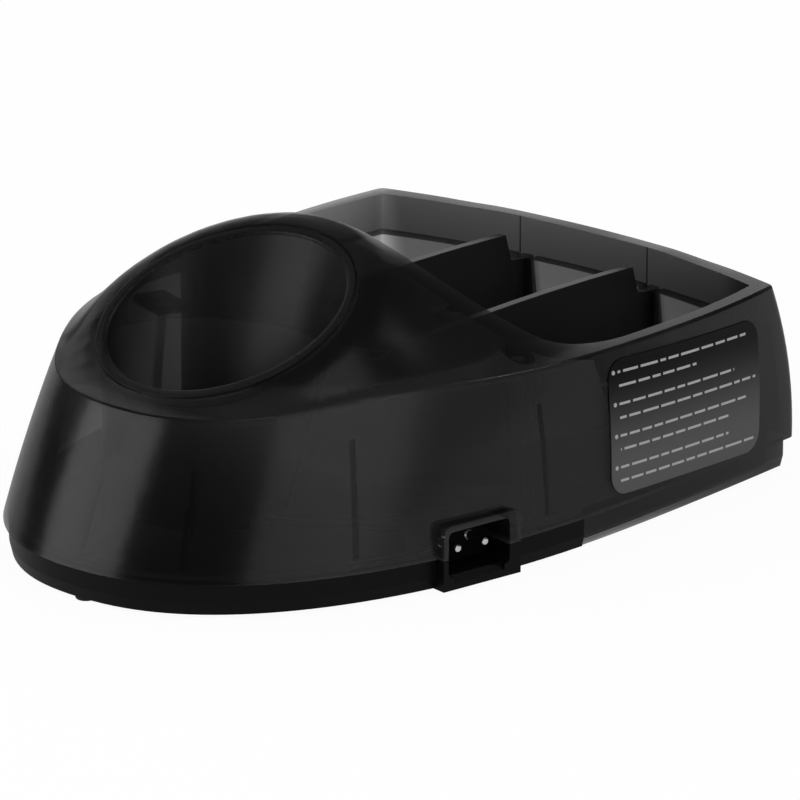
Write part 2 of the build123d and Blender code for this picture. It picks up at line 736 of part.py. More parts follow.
# Sprung contacts, their springs and the terminals that the springs stand on
terminal_low = block_low - terminal_thickness
terminal_back = pocket_floor_y - terminal_width / 2 + terminal_length
coil_height = spring_length - 2 * (spring_wire + spring_gap)
for (x, y), name in zip(contact_places, ("left", "right")):
    with BuildPart() as contact:
        with Locations((x, y, block_low + spring_length)):
            Cylinder(flange_radius, collar_thickness, align=on_floor)
            Cylinder(contact_radius, pocket_floor_z + contact_reach - block_low - spring_length,
                     align=on_floor)
        fillet(contact.faces().sort_by(Axis.Z)[-1].edges(), contact_round)
    contact.part.label = f"contact_pin_{name}"
    export_step(contact.part, f"parts/contact_pin_{name}.step")
    with BuildPart() as spring:
        with BuildLine(Plane(origin=(x, y, block_low + spring_wire + spring_gap))) as coil:
            Helix(coil_height / spring_turns, coil_height, spring_radius)
        with BuildSketch(Plane(origin=coil.line @ 0, z_dir=coil.line % 0)):
            Circle(spring_wire)
        sweep(is_frenet=True)
    spring.part.label = f"contact_spring_{name}"
    export_step(spring.part, f"parts/contact_spring_{name}.step")
    with BuildPart() as terminal:
        with Locations((x, y - terminal_width / 2, terminal_low)):
            Box(terminal_width, terminal_length, terminal_thickness,
                align=(Align.CENTER, Align.MIN, Align.MIN))
    terminal.part.label = f"terminal_{name}"
    export_step(terminal.part, f"parts/terminal_{name}.step")

# Leads from the inlet pins to the terminals
lead_z = terminal_low - lead_radius
for pin_name, (x, y), name in zip(("rear", "front"), contact_places, ("lead_left", "lead_right")):
    start = pin_planes[pin_name].origin - inlet_out * (inlet_back + pin_tail)
    first = start - inlet_out * lead_run
    last = Vector(x, terminal_back - lead_lap, lead_z)
    turn_in = Vector(x, terminal_back + lead_run, lead_z)
    middle = (first + turn_in) * 0.5 + Vector(0, lead_slack, 0)
    middle = Vector(middle.X, middle.Y, lead_z)
    with BuildPart() as lead:
        with BuildLine() as path:
            FilletPolyline(start, first, middle, turn_in, last, radius=lead_bend)
        route = path.wires()[0]
        with BuildSketch(Plane(origin=route @ 0, z_dir=route % 0)):
            Circle(lead_radius)
        sweep()
    print(name, "volume", round(lead.part.volume, 2),
          "section times length", round(pi * lead_radius ** 2 * route.length, 2))
    lead.part.label = name
    export_step(lead.part, f"parts/{name}.step")

# Screws
with BuildPart() as housing_screws:
    with Locations(*[(x, y, base_z + head_recess) for x, y in screw_places]):
        Cylinder(screw_head_radius, screw_head_height, align=on_floor)
        Cylinder(screw_radius, screw_head_height + screw_length, align=on_floor)
        Box(screw_drive, screw_drive_length, screw_drive, align=on_floor, mode=Mode.SUBTRACT)
        Box(screw_drive_length, screw_drive, screw_drive, align=on_floor, mode=Mode.SUBTRACT)
housing_screws.part.label = "housing_screws"
export_step(housing_screws.part, "parts/housing_screws.step")
with BuildPart() as block_screws:
    with Locations(*[(x, y, block_low) for x, y in block_screw_places]):
        Cylinder(block_screw_head, block_screw_head_height, align=(Align.CENTER, Align.CENTER, Align.MAX))
        Cylinder(block_screw_radius, block_screw_length, align=on_floor)
block_screws.part.label = "block_screws"
export_step(block_screws.part, "parts/block_screws.step")

# Rubber feet
with BuildPart() as rubber_feet:
    with Locations(*side_feet):
        Cylinder(foot_radius, foot_stand + foot_sink, align=on_floor)
    with Locations((0, nose_foot_y)):
        Cylinder(nose_foot_radius, foot_stand + foot_sink, align=on_floor)
    fillet(rubber_feet.edges().filter_by(GeomType.CIRCLE).group_by(Axis.Z)[0], foot_round)
rubber_feet.part.label = "rubber_feet"
export_step(rubber_feet.part, "parts/rubber_feet.step")
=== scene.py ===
from math import cos, pi, radians, sin

import bmesh
import bpy
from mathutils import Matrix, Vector


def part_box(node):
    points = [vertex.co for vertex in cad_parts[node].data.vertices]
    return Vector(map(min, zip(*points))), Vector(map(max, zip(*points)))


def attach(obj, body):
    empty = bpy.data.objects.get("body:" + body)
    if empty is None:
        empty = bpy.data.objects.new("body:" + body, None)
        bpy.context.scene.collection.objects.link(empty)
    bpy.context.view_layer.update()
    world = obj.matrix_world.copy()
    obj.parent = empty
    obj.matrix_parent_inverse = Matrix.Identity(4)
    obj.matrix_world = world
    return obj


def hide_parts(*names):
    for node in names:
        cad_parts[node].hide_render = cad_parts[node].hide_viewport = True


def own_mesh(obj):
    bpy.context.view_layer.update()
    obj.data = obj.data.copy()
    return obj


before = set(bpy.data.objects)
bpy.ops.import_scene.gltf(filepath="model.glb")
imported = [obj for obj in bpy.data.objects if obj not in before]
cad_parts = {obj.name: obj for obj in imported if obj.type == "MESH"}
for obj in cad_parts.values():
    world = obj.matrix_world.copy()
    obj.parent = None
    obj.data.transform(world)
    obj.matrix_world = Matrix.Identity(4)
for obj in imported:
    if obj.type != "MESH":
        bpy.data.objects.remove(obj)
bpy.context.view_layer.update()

bl_info = {
    "name": "Clipper charging stand",
    "version": (1, 0, 0),
    "blender": (4, 5, 0),
    "location": "View3D > Sidebar > Stand",
    "description": "Finishes and small parts of a clipper charging stand, and its stage",
    "category": "Object",
}

# The stand's own metres: +Y from the nose to the comb tray, +X to the charger inlet, +Z up.
MM = 0.001
REAR_WALL_Y, LEFT_WALL_X, NOSE_Y, CREASE_Z = 0.070, -0.050, -0.066, 0.037
REAR_FADE, LEFT_FADE = 30 * MM, 4 * MM

# A fade has its start and end in metres, and its value at each; with an axis, it runs along it.
CORNER_HAZE = ("X", 0.036, 0.044, 0, 0.3), ("Y", 0.015, 0.05, 0, 1)
# Painted light on the inner faces of the smoked walls: painted shade at the nose, where the
# pocket's cup stands in the light's way, less towards the rear, a painted highlight up the wall
# towards the crease, and painted shade on the dome above the crease.
PAINTED_VEIL_LIGHT = (("Y", NOSE_Y, NOSE_Y + 28 * MM, 0.1, 1), ("Y", 0.01, 0.06, 1, 0.12),
        ("Z", 0.018, CREASE_Z, 0.75, 2.0), ("Z", CREASE_Z, CREASE_Z + 2 * MM, 1, 0.14))
FLOOR_ASIDE, FLOOR_AHEAD = (-0.1, 0.15, 0, 1), (-0.05, 0.1, 1, 0)
# These two run over the parts of a direction, which has no unit.
BACKDROP_TOP, BACKDROP_SIDES = (0.3, 0.9, 1, 0), (0.9, 0.99, 0, 1)

# Scales of the grain and of the slow mottle in the gloss, per metre, and the grain's depth.
PLASTIC_GRAIN, SMOKED_GRAIN, METAL_GRAIN = 3500.0, 2500.0, 9000.0
PLASTIC_MOTTLE, METAL_MOTTLE = 60.0, 900.0
PLASTIC_DEPTH, METAL_DEPTH = 0.1 * MM, 0.02 * MM
EDGE_RADIUS = 0.2 * MM
SMOKE_TINT, EDGE_ON_BLEND = (0.02, 0.02, 0.02, 1), 0.25
# The pocket's cup holds back more light than the shell, by this factor.
CUP_SMOKE = 1.5

# The label's ruled print, in millimetres from its front end and its top edge.
LABEL_LOW, LABEL_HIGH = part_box("side_label")
LABEL_LENGTH, LABEL_HEIGHT, LABEL_TURN = 44.0, 25.7, radians(-2.3)
LINE_PAIR, LINE_FIRST, LINE_SECOND, LINE_HALF, LINE_START = 6.0, 2.4, 5.0, 0.24, 2.5
LINE_ENDS = 0.91, 0.56, 0.82, 0.97, 0.9, 0.78, 0.78, 0.96
DASH_SCALE, DASH_GAP, DASH_SHIFT = 0.24, 0.09, 97
DOT_PLACE, DOT_RADIUS = 1.4, 0.42
# Painted shade along the label's top: it has this share of the film's colour at its top, and all
# of it further down.
LABEL_PAINTED_SHADE_SHARE, LABEL_PAINTED_SHADE_FADE = 0.02, (2, 22, 0, 1)

# Housing screws from above, in millimetres.
SCREW_PLACES = (0, -62.8), (-40, 1.5), (40, 1.5), (-38, 50), (38, 50)
# Points along a turned solid and round it, and along a turn of thread and round its ridge.
TURN_POINTS, TURN_SIDES, THREAD_POINTS, THREAD_SIDES = 24, 40, 24, 6
# Shares of a screw's length: where its tip starts, how it tapers, and how far the thread goes.
TIP_START, TIP_TAPER, THREADED = 0.9, -4, 0.92
# The head's squared radius changes by this share at its outer face, and by a power inwards.
HEAD_ROUND, HEAD_POWER = -0.45, 3
# Folds sharper than these stay sharp.
SCREW_EDGE, COIL_EDGE = radians(40), radians(60)

SENSOR_WIDTH, CLIP_END = 36, 20
FLOOR_HALF, FLOOR_HEIGHT = 6.0, -0.02 * MM
FLOOR_COLOUR, FLOOR_ROUGHNESS = (0.8, 0.8, 0.8, 1), 0.9
LAMP_AIM = Vector((0, 0, 0.02))
# Azimuth and elevation in degrees, distance, width and height in metres, and brightness.
LAMPS = {
    "nose_softbox": (-38, 20, 1.0, 0.75, 0.5, 2.3),
    "side_softbox": (72, 14, 1.2, 0.9, 0.8, 1.0),
    "left_softbox": (-113, 24, 1.2, 0.6, 0.6, 0.5),
    "top_strip": (60, 66, 1.0, 0.7, 0.3, 1.0),
    "edge_light": (141, 48, 1.2, 0.16, 0.16, 9.0),
}


class StandFinishes(bpy.types.PropertyGroup):
    """Colours and gloss of the stand's plastics and metals."""

    smoke_colour: bpy.props.FloatVectorProperty(
        name="Smoked plastic", description="Colour of the see-through mouldings",
        subtype="COLOR", size=3, min=0, max=1, default=(0.007, 0.007, 0.0072))
    smoke_density: bpy.props.FloatProperty(
        name="Smoke density",
        description="Light held back by a smoked wall, per metre of its thickness",
        min=0, default=250.0)
    smoke_haze: bpy.props.FloatProperty(
        name="Smoke haze",
        description="Share of the light that each face of a smoked wall scatters or mirrors",
        subtype="FACTOR", min=0, max=1, default=0.34)
    clear_haze: bpy.props.FloatProperty(
        name="Haze of the left wall",
        description="The same for the clearer wall away from the inlet",
        subtype="FACTOR", min=0, max=1, default=0.08)
    rear_haze: bpy.props.FloatProperty(
        name="Haze of the rear wall", description="The same for the thicker rear wall",
        subtype="FACTOR", min=0, max=1, default=0.5)
    smoke_roughness: bpy.props.FloatProperty(
        name="Smoked roughness", description="Roughness of the polished smoked plastic",
        subtype="FACTOR", min=0, max=1, default=0.2)
    veil_colour: bpy.props.FloatVectorProperty(
        name="Smoke veil",
        description="Milky light that the smoked walls send back from their depth",
        subtype="COLOR", size=3, min=0, max=1, default=(0.5, 0.5, 0.5))
    cup_colour: bpy.props.FloatVectorProperty(
        name="Pocket plastic", description="Surface colour of the pocket's smoked cup",
        subtype="COLOR", size=3, min=0, max=1, default=(0.012, 0.012, 0.012))
    base_colour: bpy.props.FloatVectorProperty(
        name="Base plastic", description="Colour of the base and of the inlet",
        subtype="COLOR", size=3, min=0, max=1, default=(0.004, 0.004, 0.004))
    divider_colour: bpy.props.FloatVectorProperty(
        name="Divider plastic", description="Colour of the plates between the compartments",
        subtype="COLOR", size=3, min=0, max=1, default=(0.02, 0.02, 0.0205))
    label_colour: bpy.props.FloatVectorProperty(
        name="Label film", description="Ground colour of the label",
        subtype="COLOR", size=3, min=0, max=1, default=(0.125, 0.125, 0.125))
    print_colour: bpy.props.FloatVectorProperty(
        name="Label print", description="Colour of the ruled lines on the label",
        subtype="COLOR", size=3, min=0, max=1, default=(0.55, 0.55, 0.55))
    lead_colour: bpy.props.FloatVectorProperty(
        name="Lead cover", description="Colour of the covering of the two leads inside",
        subtype="COLOR", size=3, min=0, max=1, default=(0.012, 0.012, 0.012))
    plating_colour: bpy.props.FloatVectorProperty(
        name="Nickel plating", description="Colour of the pins and contacts",
        subtype="COLOR", size=3, min=0, max=1, default=(0.72, 0.7, 0.66))
    steel_colour: bpy.props.FloatVectorProperty(
        name="Zinc plated steel", description="Colour of the screws and springs",
        subtype="COLOR", size=3, min=0, max=1, default=(0.5, 0.5, 0.51))
    brass_colour: bpy.props.FloatVectorProperty(
        name="Brass strip", description="Colour of the terminals",
        subtype="COLOR", size=3, min=0, max=1, default=(0.75, 0.56, 0.26))


class StandStage(bpy.types.PropertyGroup):
    """Camera, floor and room round the stand."""

    azimuth: bpy.props.FloatProperty(
        name="Camera azimuth", description="Turn of the camera round the stand from the front",
        subtype="ANGLE", default=radians(41.223))
    elevation: bpy.props.FloatProperty(
        name="Camera elevation", description="Height of the camera over the horizon",
        subtype="ANGLE", default=radians(18.35))
    distance: bpy.props.FloatProperty(
        name="Camera distance", description="From the camera to the point that it looks at",
        unit="LENGTH", default=1.2012)
    target: bpy.props.FloatVectorProperty(
        name="Camera target", description="Point that the camera looks at",
        subtype="TRANSLATION", size=3, default=(0.025612, -0.014706, 0.029183))
    lens: bpy.props.FloatProperty(
        name="Lens", description="Focal length in millimetres on a 36 mm sensor",
        default=294.27)
    floor_shade: bpy.props.FloatProperty(
        name="Floor shade",
        description="Share of the floor's look that takes light and shadow",
        subtype="FACTOR", min=0, max=1, default=0.08)
    floor_glow: bpy.props.FloatProperty(
        name="Floor glow", description="Glow of the white floor where the camera sees it",
        default=1.04)
    floor_mirror: bpy.props.FloatProperty(
        name="Floor in reflections",
        description="Share of the floor's glow that polished faces mirror",
        subtype="FACTOR", min=0, max=1, default=0.5)
    floor_dim: bpy.props.FloatProperty(
        name="Floor in reflections at the side",
        description="The same for the floor beside and behind the stand",
        subtype="FACTOR", min=0, max=1, default=0.08)
    room_light: bpy.props.FloatProperty(
        name="Room light", description="Strength of the even light from all round",
        default=0.35)
    dark_room: bpy.props.FloatProperty(
        name="Dark room",
        description="What polished faces mirror beside and above the white backdrop",
        subtype="FACTOR", min=0, max=1, default=0.05)


# Nodes and materials


def feed(tree, value, target):
    """Link a socket to an input, or set the input to a plain value."""
    if isinstance(value, bpy.types.NodeSocket):
        tree.links.new(value, target)
    else:
        target.default_value = value


def add_node(tree, kind, inputs=None, **settings):
    """A new node with its plain settings, and its inputs linked or set."""
    node = tree.nodes.new(kind)
    for name, value in settings.items():
        setattr(node, name, value)
    for name, value in (inputs or {}).items():
        feed(tree, value, node.inputs[name])
    return node


def math_node(tree, operation, *values):
    """What a math node makes of sockets or plain numbers."""
    node = add_node(tree, "ShaderNodeMath", operation=operation)
    for value, target in zip(values, node.inputs):
        feed(tree, value, target)
    return node.outputs[0]


def fade_node(tree, value, start, end, first, last):
    """A value that runs smoothly from first to last while its source runs from start to end."""
    inputs = {"Value": value, "From Min": start, "From Max": end,
              "To Min": first, "To Max": last}
    node = add_node(tree, "ShaderNodeMapRange", inputs, interpolation_type="SMOOTHSTEP")
    return node.outputs[0]


def faded(tree, place, fades):
    """The product of fades along the axes of a place."""
    product, *others = [fade_node(tree, place[axis], *fade) for axis, *fade in fades]
    for other in others:
        product = math_node(tree, "MULTIPLY", product, other)
    return product


def place_node(tree, kind="Object"):
    """Where a point of a surface is, or which way a point of the room lies."""
    return add_node(tree, "ShaderNodeTexCoord").outputs[kind]


def split_node(tree, vector):
    """The three parts of a vector."""
    return add_node(tree, "ShaderNodeSeparateXYZ", {"Vector": vector}).outputs


def vector_node(tree, operation, first, second):
    """A vector math node fed by sockets or plain vectors."""
    node = add_node(tree, "ShaderNodeVectorMath", operation=operation)
    feed(tree, first, node.inputs[0])
    feed(tree, second, node.inputs[1])
    return node


def seen_node(tree, path):
    """Whether a ray comes from the camera, straight or through the plastic."""
    return math_node(tree, "MAXIMUM", path["Is Camera Ray"], path["Is Transmission Ray"])


def new_group(name, inputs, outputs):
    """A shader group with named number inputs and outputs, and its first and last nodes."""
    group = bpy.data.node_groups.new(name, "ShaderNodeTree")
    for label, value in inputs.items():
        socket = group.interface.new_socket(
            name=label, in_out="INPUT", socket_type="NodeSocketFloat")
        socket.default_value = value
    for label in outputs:
        group.interface.new_socket(
            name=label, in_out="OUTPUT", socket_type="NodeSocketFloat")
    return group, add_node(group, "NodeGroupInput"), add_node(group, "NodeGroupOutput")


def grain_group():
    """Fine moulded grain as a height, with the slow change in gloss that a moulding has."""
    group, given, out = new_group(
        "moulded_grain",
        {"Scale": 3000.0, "Mottle Scale": 60.0, "Roughness": 0.4, "Roughness Change": 0.1},
        ("Height", "Roughness"))
    place = place_node(group)
    fine = add_node(group, "ShaderNodeTexNoise", {
        "Vector": place, "Scale": given.outputs["Scale"], "Detail": 3})
    slow = add_node(group, "ShaderNodeTexNoise", {
        "Vector": place, "Scale": given.outputs["Mottle Scale"], "Detail": 4})
    centred = math_node(group, "SUBTRACT", slow.outputs[0], 0.5)
    change = math_node(group, "MULTIPLY", centred, given.outputs["Roughness Change"])
    rough = math_node(group, "ADD", change, given.outputs["Roughness"])
    feed(group, fine.outputs[0], out.inputs["Height"])
    feed(group, rough, out.inputs["Roughness"])
    return group


def print_group():
    """Ruled dashes with a dot before each pair in place of print, and a fade down the label that
    carries its painted shade.
    """
    group, given, out = new_group("ruled_print", {}, ("Mask", "Depth"))
    group.interface.new_socket(name="Place", in_out="INPUT", socket_type="NodeSocketVector")
    middle = [(low + high) / 2 for low, high in zip(LABEL_LOW, LABEL_HIGH)]
    shift = vector_node(group, "SUBTRACT", given.outputs["Place"], middle)
    level = add_node(group, "ShaderNodeVectorRotate", {
        "Vector": shift.outputs[0], "Angle": -LABEL_TURN}, rotation_type="X_AXIS")
    place = split_node(group, level.outputs[0])
    along = math_node(group, "MULTIPLY_ADD", place["Y"], 1 / MM, LABEL_LENGTH / 2)
    down = math_node(group, "MULTIPLY_ADD", place["Z"], -1 / MM, LABEL_HEIGHT / 2)
    in_pair = math_node(group, "MODULO", down, LINE_PAIR)
    from_first, from_second = (
        math_node(group, "ABSOLUTE", math_node(group, "SUBTRACT", in_pair, line))
        for line in (LINE_FIRST, LINE_SECOND))
    nearest = math_node(group, "MINIMUM", from_first, from_second)
    rule = math_node(group, "LESS_THAN", nearest, LINE_HALF)
    # A stepped ramp says how far along the label each line ends.
    ends = add_node(group, "ShaderNodeValToRGB")
    ramp = ends.color_ramp
    ramp.interpolation = "CONSTANT"
    spacing = LINE_PAIR / 2
    for index, end in enumerate(LINE_ENDS):
        place_down = index * spacing / LABEL_HEIGHT
        mark = ramp.elements.new(place_down) if index else ramp.elements[0]
        mark.color = (end, end, end, 1)
    ramp.elements.remove(ramp.elements[-1])
    feed(group, math_node(group, "DIVIDE", down, LABEL_HEIGHT), ends.inputs[0])
    line_end = math_node(group, "MULTIPLY", ends.outputs[0], LABEL_LENGTH)
    # Cells along the line leave gaps between dashes, and each line starts among other cells.
    row = math_node(group, "FLOOR", math_node(group, "DIVIDE", down, spacing))
    cells = add_node(group, "ShaderNodeTexVoronoi", {
        "W": math_node(group, "MULTIPLY_ADD", row, DASH_SHIFT, along), "Scale": DASH_SCALE},
        voronoi_dimensions="1D", feature="DISTANCE_TO_EDGE")
    for share in (math_node(group, "GREATER_THAN", along, LINE_START),
                  math_node(group, "LESS_THAN", along, line_end),
                  math_node(group, "GREATER_THAN", cells.outputs["Distance"], DASH_GAP)):
        rule = math_node(group, "MULTIPLY", rule, share)
    aside = math_node(group, "SUBTRACT", along, DOT_PLACE)
    square = math_node(group, "MULTIPLY", from_first, from_first)
    away = math_node(group, "SQRT", math_node(group, "MULTIPLY_ADD", aside, aside, square))
    dot = math_node(group, "LESS_THAN", away, DOT_RADIUS)
    feed(group, math_node(group, "MAXIMUM", rule, dot), out.inputs["Mask"])
    # The Depth output is the painted shade down the label: darkest at its top, gone where the
    # film has its own colour.
    feed(group, fade_node(group, down, *LABEL_PAINTED_SHADE_FADE), out.inputs["Depth"])
    return group


def new_material(name):
    """A material with its tree and its main shader."""
    material = bpy.data.materials.new(name)
    material.use_nodes = True
    tree = material.node_tree
    return material, tree, tree.nodes["Principled BSDF"]


def grained(name, colour, roughness, change, bump, grain, mottle, depth, edge=0):
    """A material of one colour whose gloss and relief come from the shared grain."""
    material, tree, shader = new_material(name)
    surface = add_node(tree, "ShaderNodeGroup", {
        "Scale": grain, "Mottle Scale": mottle,
        "Roughness": roughness, "Roughness Change": change},
        node_tree=bpy.data.node_groups.get("moulded_grain") or grain_group())
    relief = add_node(tree, "ShaderNodeBump", {
        "Height": surface.outputs["Height"], "Strength": bump, "Distance": depth})
    if edge:
        rounded = add_node(tree, "ShaderNodeBevel", {"Radius": edge}, samples=4)
        feed(tree, rounded.outputs["Normal"], relief.inputs["Normal"])
    feed(tree, (*colour, 1), shader.inputs["Base Color"])
    feed(tree, surface.outputs["Roughness"], shader.inputs["Roughness"])
    feed(tree, relief.outputs["Normal"], shader.inputs["Normal"])
    return material, shader


def plastic(name, colour, roughness, bump, specular=0.5):
    """A moulded plastic with fine grain, gloss that drifts and edges that catch light."""
    material, shader = grained(
        name, colour, roughness, change=0.08, bump=bump, grain=PLASTIC_GRAIN,
        mottle=PLASTIC_MOTTLE, depth=PLASTIC_DEPTH, edge=EDGE_RADIUS)
    shader.inputs["Specular IOR Level"].default_value = specular
    return material


def smoked(name, colour, finishes, density, haze, roughness, specular):
    """Smoked see-through plastic: hazy faces, painted light and shade on the inner faces, and a
    body that holds back light.
    """
    material, shader = grained(
        name, colour, roughness, change=0.06, bump=0.01,
        grain=SMOKED_GRAIN, mottle=PLASTIC_MOTTLE, depth=PLASTIC_DEPTH)
    shader.inputs["Specular IOR Level"].default_value = specular
    tree = material.node_tree
    place = split_node(tree, place_node(tree))
    hazy = faded(tree, place, (
        ("Y", REAR_WALL_Y - REAR_FADE, REAR_WALL_Y, haze, finishes.rear_haze),
        ("X", LEFT_WALL_X, LEFT_WALL_X + LEFT_FADE, finishes.clear_haze / haze, 1)))
    hazy = math_node(tree, "ADD", hazy, faded(tree, place, CORNER_HAZE))
    edge_on = add_node(tree, "ShaderNodeLayerWeight", {"Blend": EDGE_ON_BLEND})
    clear = math_node(tree, "SUBTRACT", 1, hazy)
    alpha = math_node(tree, "MULTIPLY_ADD", edge_on.outputs["Facing"], clear, hazy)
    feed(tree, alpha, shader.inputs["Alpha"])
    # Faces seen from within the plastic send light back, so ribs and bosses behind it show dark.
    # How much they send back is painted by place: painted shade at the nose and on the dome, less
    # towards the rear, and a painted highlight up the wall under the crease.
    within = add_node(tree, "ShaderNodeNewGeometry").outputs["Backfacing"]
    veil_with_painted_light = add_node(tree, "ShaderNodeMix", {
        "Factor": math_node(tree, "MULTIPLY", within, faded(tree, place, PAINTED_VEIL_LIGHT)),
        "A": (*colour, 1), "B": (*finishes.veil_colour, 1)}, data_type="RGBA")
    feed(tree, veil_with_painted_light.outputs["Result"], shader.inputs["Base Color"])
    body = add_node(tree, "ShaderNodeVolumeAbsorption", {"Color": SMOKE_TINT, "Density": density})
    feed(tree, body.outputs[0], tree.nodes["Material Output"].inputs["Volume"])
    return material


def metal(name, colour, roughness):
    """Plated or drawn metal with fine scratches."""
    material, shader = grained(
        name, colour, roughness, change=0.15, bump=0.05,
        grain=METAL_GRAIN, mottle=METAL_MOTTLE, depth=METAL_DEPTH)
    shader.inputs["Metallic"].default_value = 1
    return material


def finish_node(node, material):
    """Give a carried-over piece of the frame its own finish."""
    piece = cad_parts[node]
    piece.data.materials.clear()
    piece.data.materials.append(material)


# Geometry trees for what repeats


def new_tree(name, numbers):
    """A geometry tree with named number inputs and a finish, and its first and last nodes."""
    tree = bpy.data.node_groups.new(name, "GeometryNodeTree")
    sockets = tree.interface
    sockets.new_socket(name="Places", in_out="INPUT", socket_type="NodeSocketGeometry")
    for label, value in numbers.items():
        socket = sockets.new_socket(name=label, in_out="INPUT", socket_type="NodeSocketFloat")
        socket.default_value = value
    sockets.new_socket(name="Finish", in_out="INPUT", socket_type="NodeSocketMaterial")
    sockets.new_socket(name="Pieces", in_out="OUTPUT", socket_type="NodeSocketGeometry")
    return tree, add_node(tree, "NodeGroupInput"), add_node(tree, "NodeGroupOutput")


def along_z(tree, height):
    """A vector straight up, as long as a socket says."""
    return add_node(tree, "ShaderNodeCombineXYZ", {"Z": height}).outputs[0]


def turned(tree, height, radius, profile):
    """A solid turned about Z whose radius is scaled by a profile along its height."""
    line = add_node(tree, "GeometryNodeCurvePrimitiveLine", {"End": along_z(tree, height)})
    fine = add_node(tree, "GeometryNodeResampleCurve", {
        "Curve": line.outputs[0], "Count": TURN_POINTS})
    circle = add_node(tree, "GeometryNodeCurvePrimitiveCircle", {
        "Resolution": TURN_SIDES, "Radius": radius})
    sweep = add_node(tree, "GeometryNodeCurveToMesh", {
        "Curve": fine.outputs[0], "Profile Curve": circle.outputs[0], "Scale": profile,
        "Fill Caps": True})
    return sweep.outputs[0]


def moved(tree, shape, shift):
    """A shape carried along a vector."""
    node = add_node(tree, "GeometryNodeTransform", {"Geometry": shape, "Translation": shift})
    return node.outputs[0]


def place_all(tree, given, out, shape):
    """The shape on each place, made real and given its finish."""
    instances = add_node(tree, "GeometryNodeInstanceOnPoints", {
        "Points": given.outputs["Places"], "Instance": shape})
    real = add_node(tree, "GeometryNodeRealizeInstances", {"Geometry": instances.outputs[0]})
    finish = add_node(tree, "GeometryNodeSetMaterial", {
        "Geometry": real.outputs[0], "Material": given.outputs["Finish"]})
    feed(tree, finish.outputs[0], out.inputs[0])


def screw_tree():
    """Pan-head screws, heads down, with a cross drive and a rolled thread."""
    tree, given, out = new_tree("pan_head_screws", {
        "Head Radius": 2.6 * MM, "Head Height": 1.6 * MM,
        "Shank Radius": 1.15 * MM, "Shank Length": 5.5 * MM,
        "Thread Pitch": 0.8 * MM, "Thread Depth": 0.14 * MM,
        "Drive Width": 0.6 * MM, "Drive Length": 3.0 * MM, "Drive Depth": 0.7 * MM})
    size = given.outputs
    factor = add_node(tree, "GeometryNodeSplineParameter").outputs["Factor"]
    # The head is rounded towards its outer face, and the shank tapers over its blunt tip.
    outward = math_node(tree, "POWER", math_node(tree, "SUBTRACT", 1, factor), HEAD_POWER)
    dome = math_node(tree, "SQRT", math_node(tree, "MULTIPLY_ADD", outward, HEAD_ROUND, 1))
    head = turned(tree, size["Head Height"], size["Head Radius"], dome)
    past = math_node(tree, "MAXIMUM", math_node(tree, "SUBTRACT", factor, TIP_START), 0)
    tip = math_node(tree, "ADD", math_node(tree, "MULTIPLY", past, TIP_TAPER), 1)
    core = math_node(tree, "SUBTRACT", size["Shank Radius"], size["Thread Depth"])
    shank = turned(tree, size["Shank Length"], core, tip)
    # Half of each slot's block stands out of the head, so the cut is as deep as the drive.
    drive = add_node(tree, "GeometryNodeJoinGeometry")
    deep = math_node(tree, "MULTIPLY", size["Drive Depth"], 2)
    for across, along in (("Drive Width", "Drive Length"), ("Drive Length", "Drive Width")):
        block = add_node(tree, "ShaderNodeCombineXYZ", {
            "X": size[across], "Y": size[along], "Z": deep})
        slot = add_node(tree, "GeometryNodeMeshCube", {"Size": block.outputs[0]})
        feed(tree, slot.outputs["Mesh"], drive.inputs[0])
    cut = add_node(tree, "GeometryNodeMeshBoolean", operation="DIFFERENCE", solver="EXACT")
    feed(tree, head, cut.inputs["Mesh 1"])
    feed(tree, drive.outputs[0], cut.inputs["Mesh 2"])
    threaded = math_node(tree, "MULTIPLY", size["Shank Length"], THREADED)
    thread = add_node(tree, "GeometryNodeCurveSpiral", {
        "Resolution": THREAD_POINTS, "Height": threaded,
        "Rotations": math_node(tree, "DIVIDE", threaded, size["Thread Pitch"]),
        "Start Radius": core, "End Radius": core})
    ridge = add_node(tree, "GeometryNodeCurvePrimitiveCircle", {
        "Resolution": THREAD_SIDES, "Radius": size["Thread Depth"]})
    rolled = add_node(tree, "GeometryNodeCurveToMesh", {
        "Curve": thread.outputs[0], "Profile Curve": ridge.outputs[0], "Fill Caps": True})
    screw = add_node(tree, "GeometryNodeJoinGeometry")
    up = along_z(tree, size["Head Height"])
    for shape in (cut.outputs[0], moved(tree, shank, up), moved(tree, rolled.outputs[0], up)):
        feed(tree, shape, screw.inputs[0])
    place_all(tree, given, out, screw.outputs[0])
    return tree


def grown(name, places, tree, settings):
    """The piece that a geometry tree grows on its places, as a plain mesh."""
    seeds = bpy.data.meshes.new(name)
    seeds.from_pydata(places, [], [])
    piece = bpy.data.objects.new(name, seeds)
    bpy.context.scene.collection.objects.link(piece)
    growth = piece.modifiers.new("growth", "NODES")
    growth.node_group = tree
    for item in tree.interface.items_tree:
        if item.item_type == "SOCKET" and item.in_out == "INPUT" and item.name in settings:
            growth[item.identifier] = settings[item.name]
    graph = bpy.context.evaluated_depsgraph_get()
    mesh = bpy.data.meshes.new_from_object(piece.evaluated_get(graph))
    piece.modifiers.remove(growth)
    piece.data = mesh
    mesh.shade_smooth()
    mesh.set_sharp_from_angle(angle=SCREW_EDGE)
    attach(piece, "root")
    return piece


def way_out(azimuth, elevation):
    """The direction away from the stand at an azimuth from its front and an elevation."""
    return Vector((sin(azimuth) * cos(elevation),
                   -cos(azimuth) * cos(elevation), sin(elevation)))


def aim(name, data, target, away, distance):
    """A camera or lamp that stands off from a target and looks at it."""
    piece = bpy.data.objects.new(name, data)
    piece.location = target + away * distance
    piece.rotation_euler = (-away).to_track_quat("-Z", "Y").to_euler()
    bpy.context.scene.collection.objects.link(piece)
    return piece


# Operators, one for each piece or group of like pieces


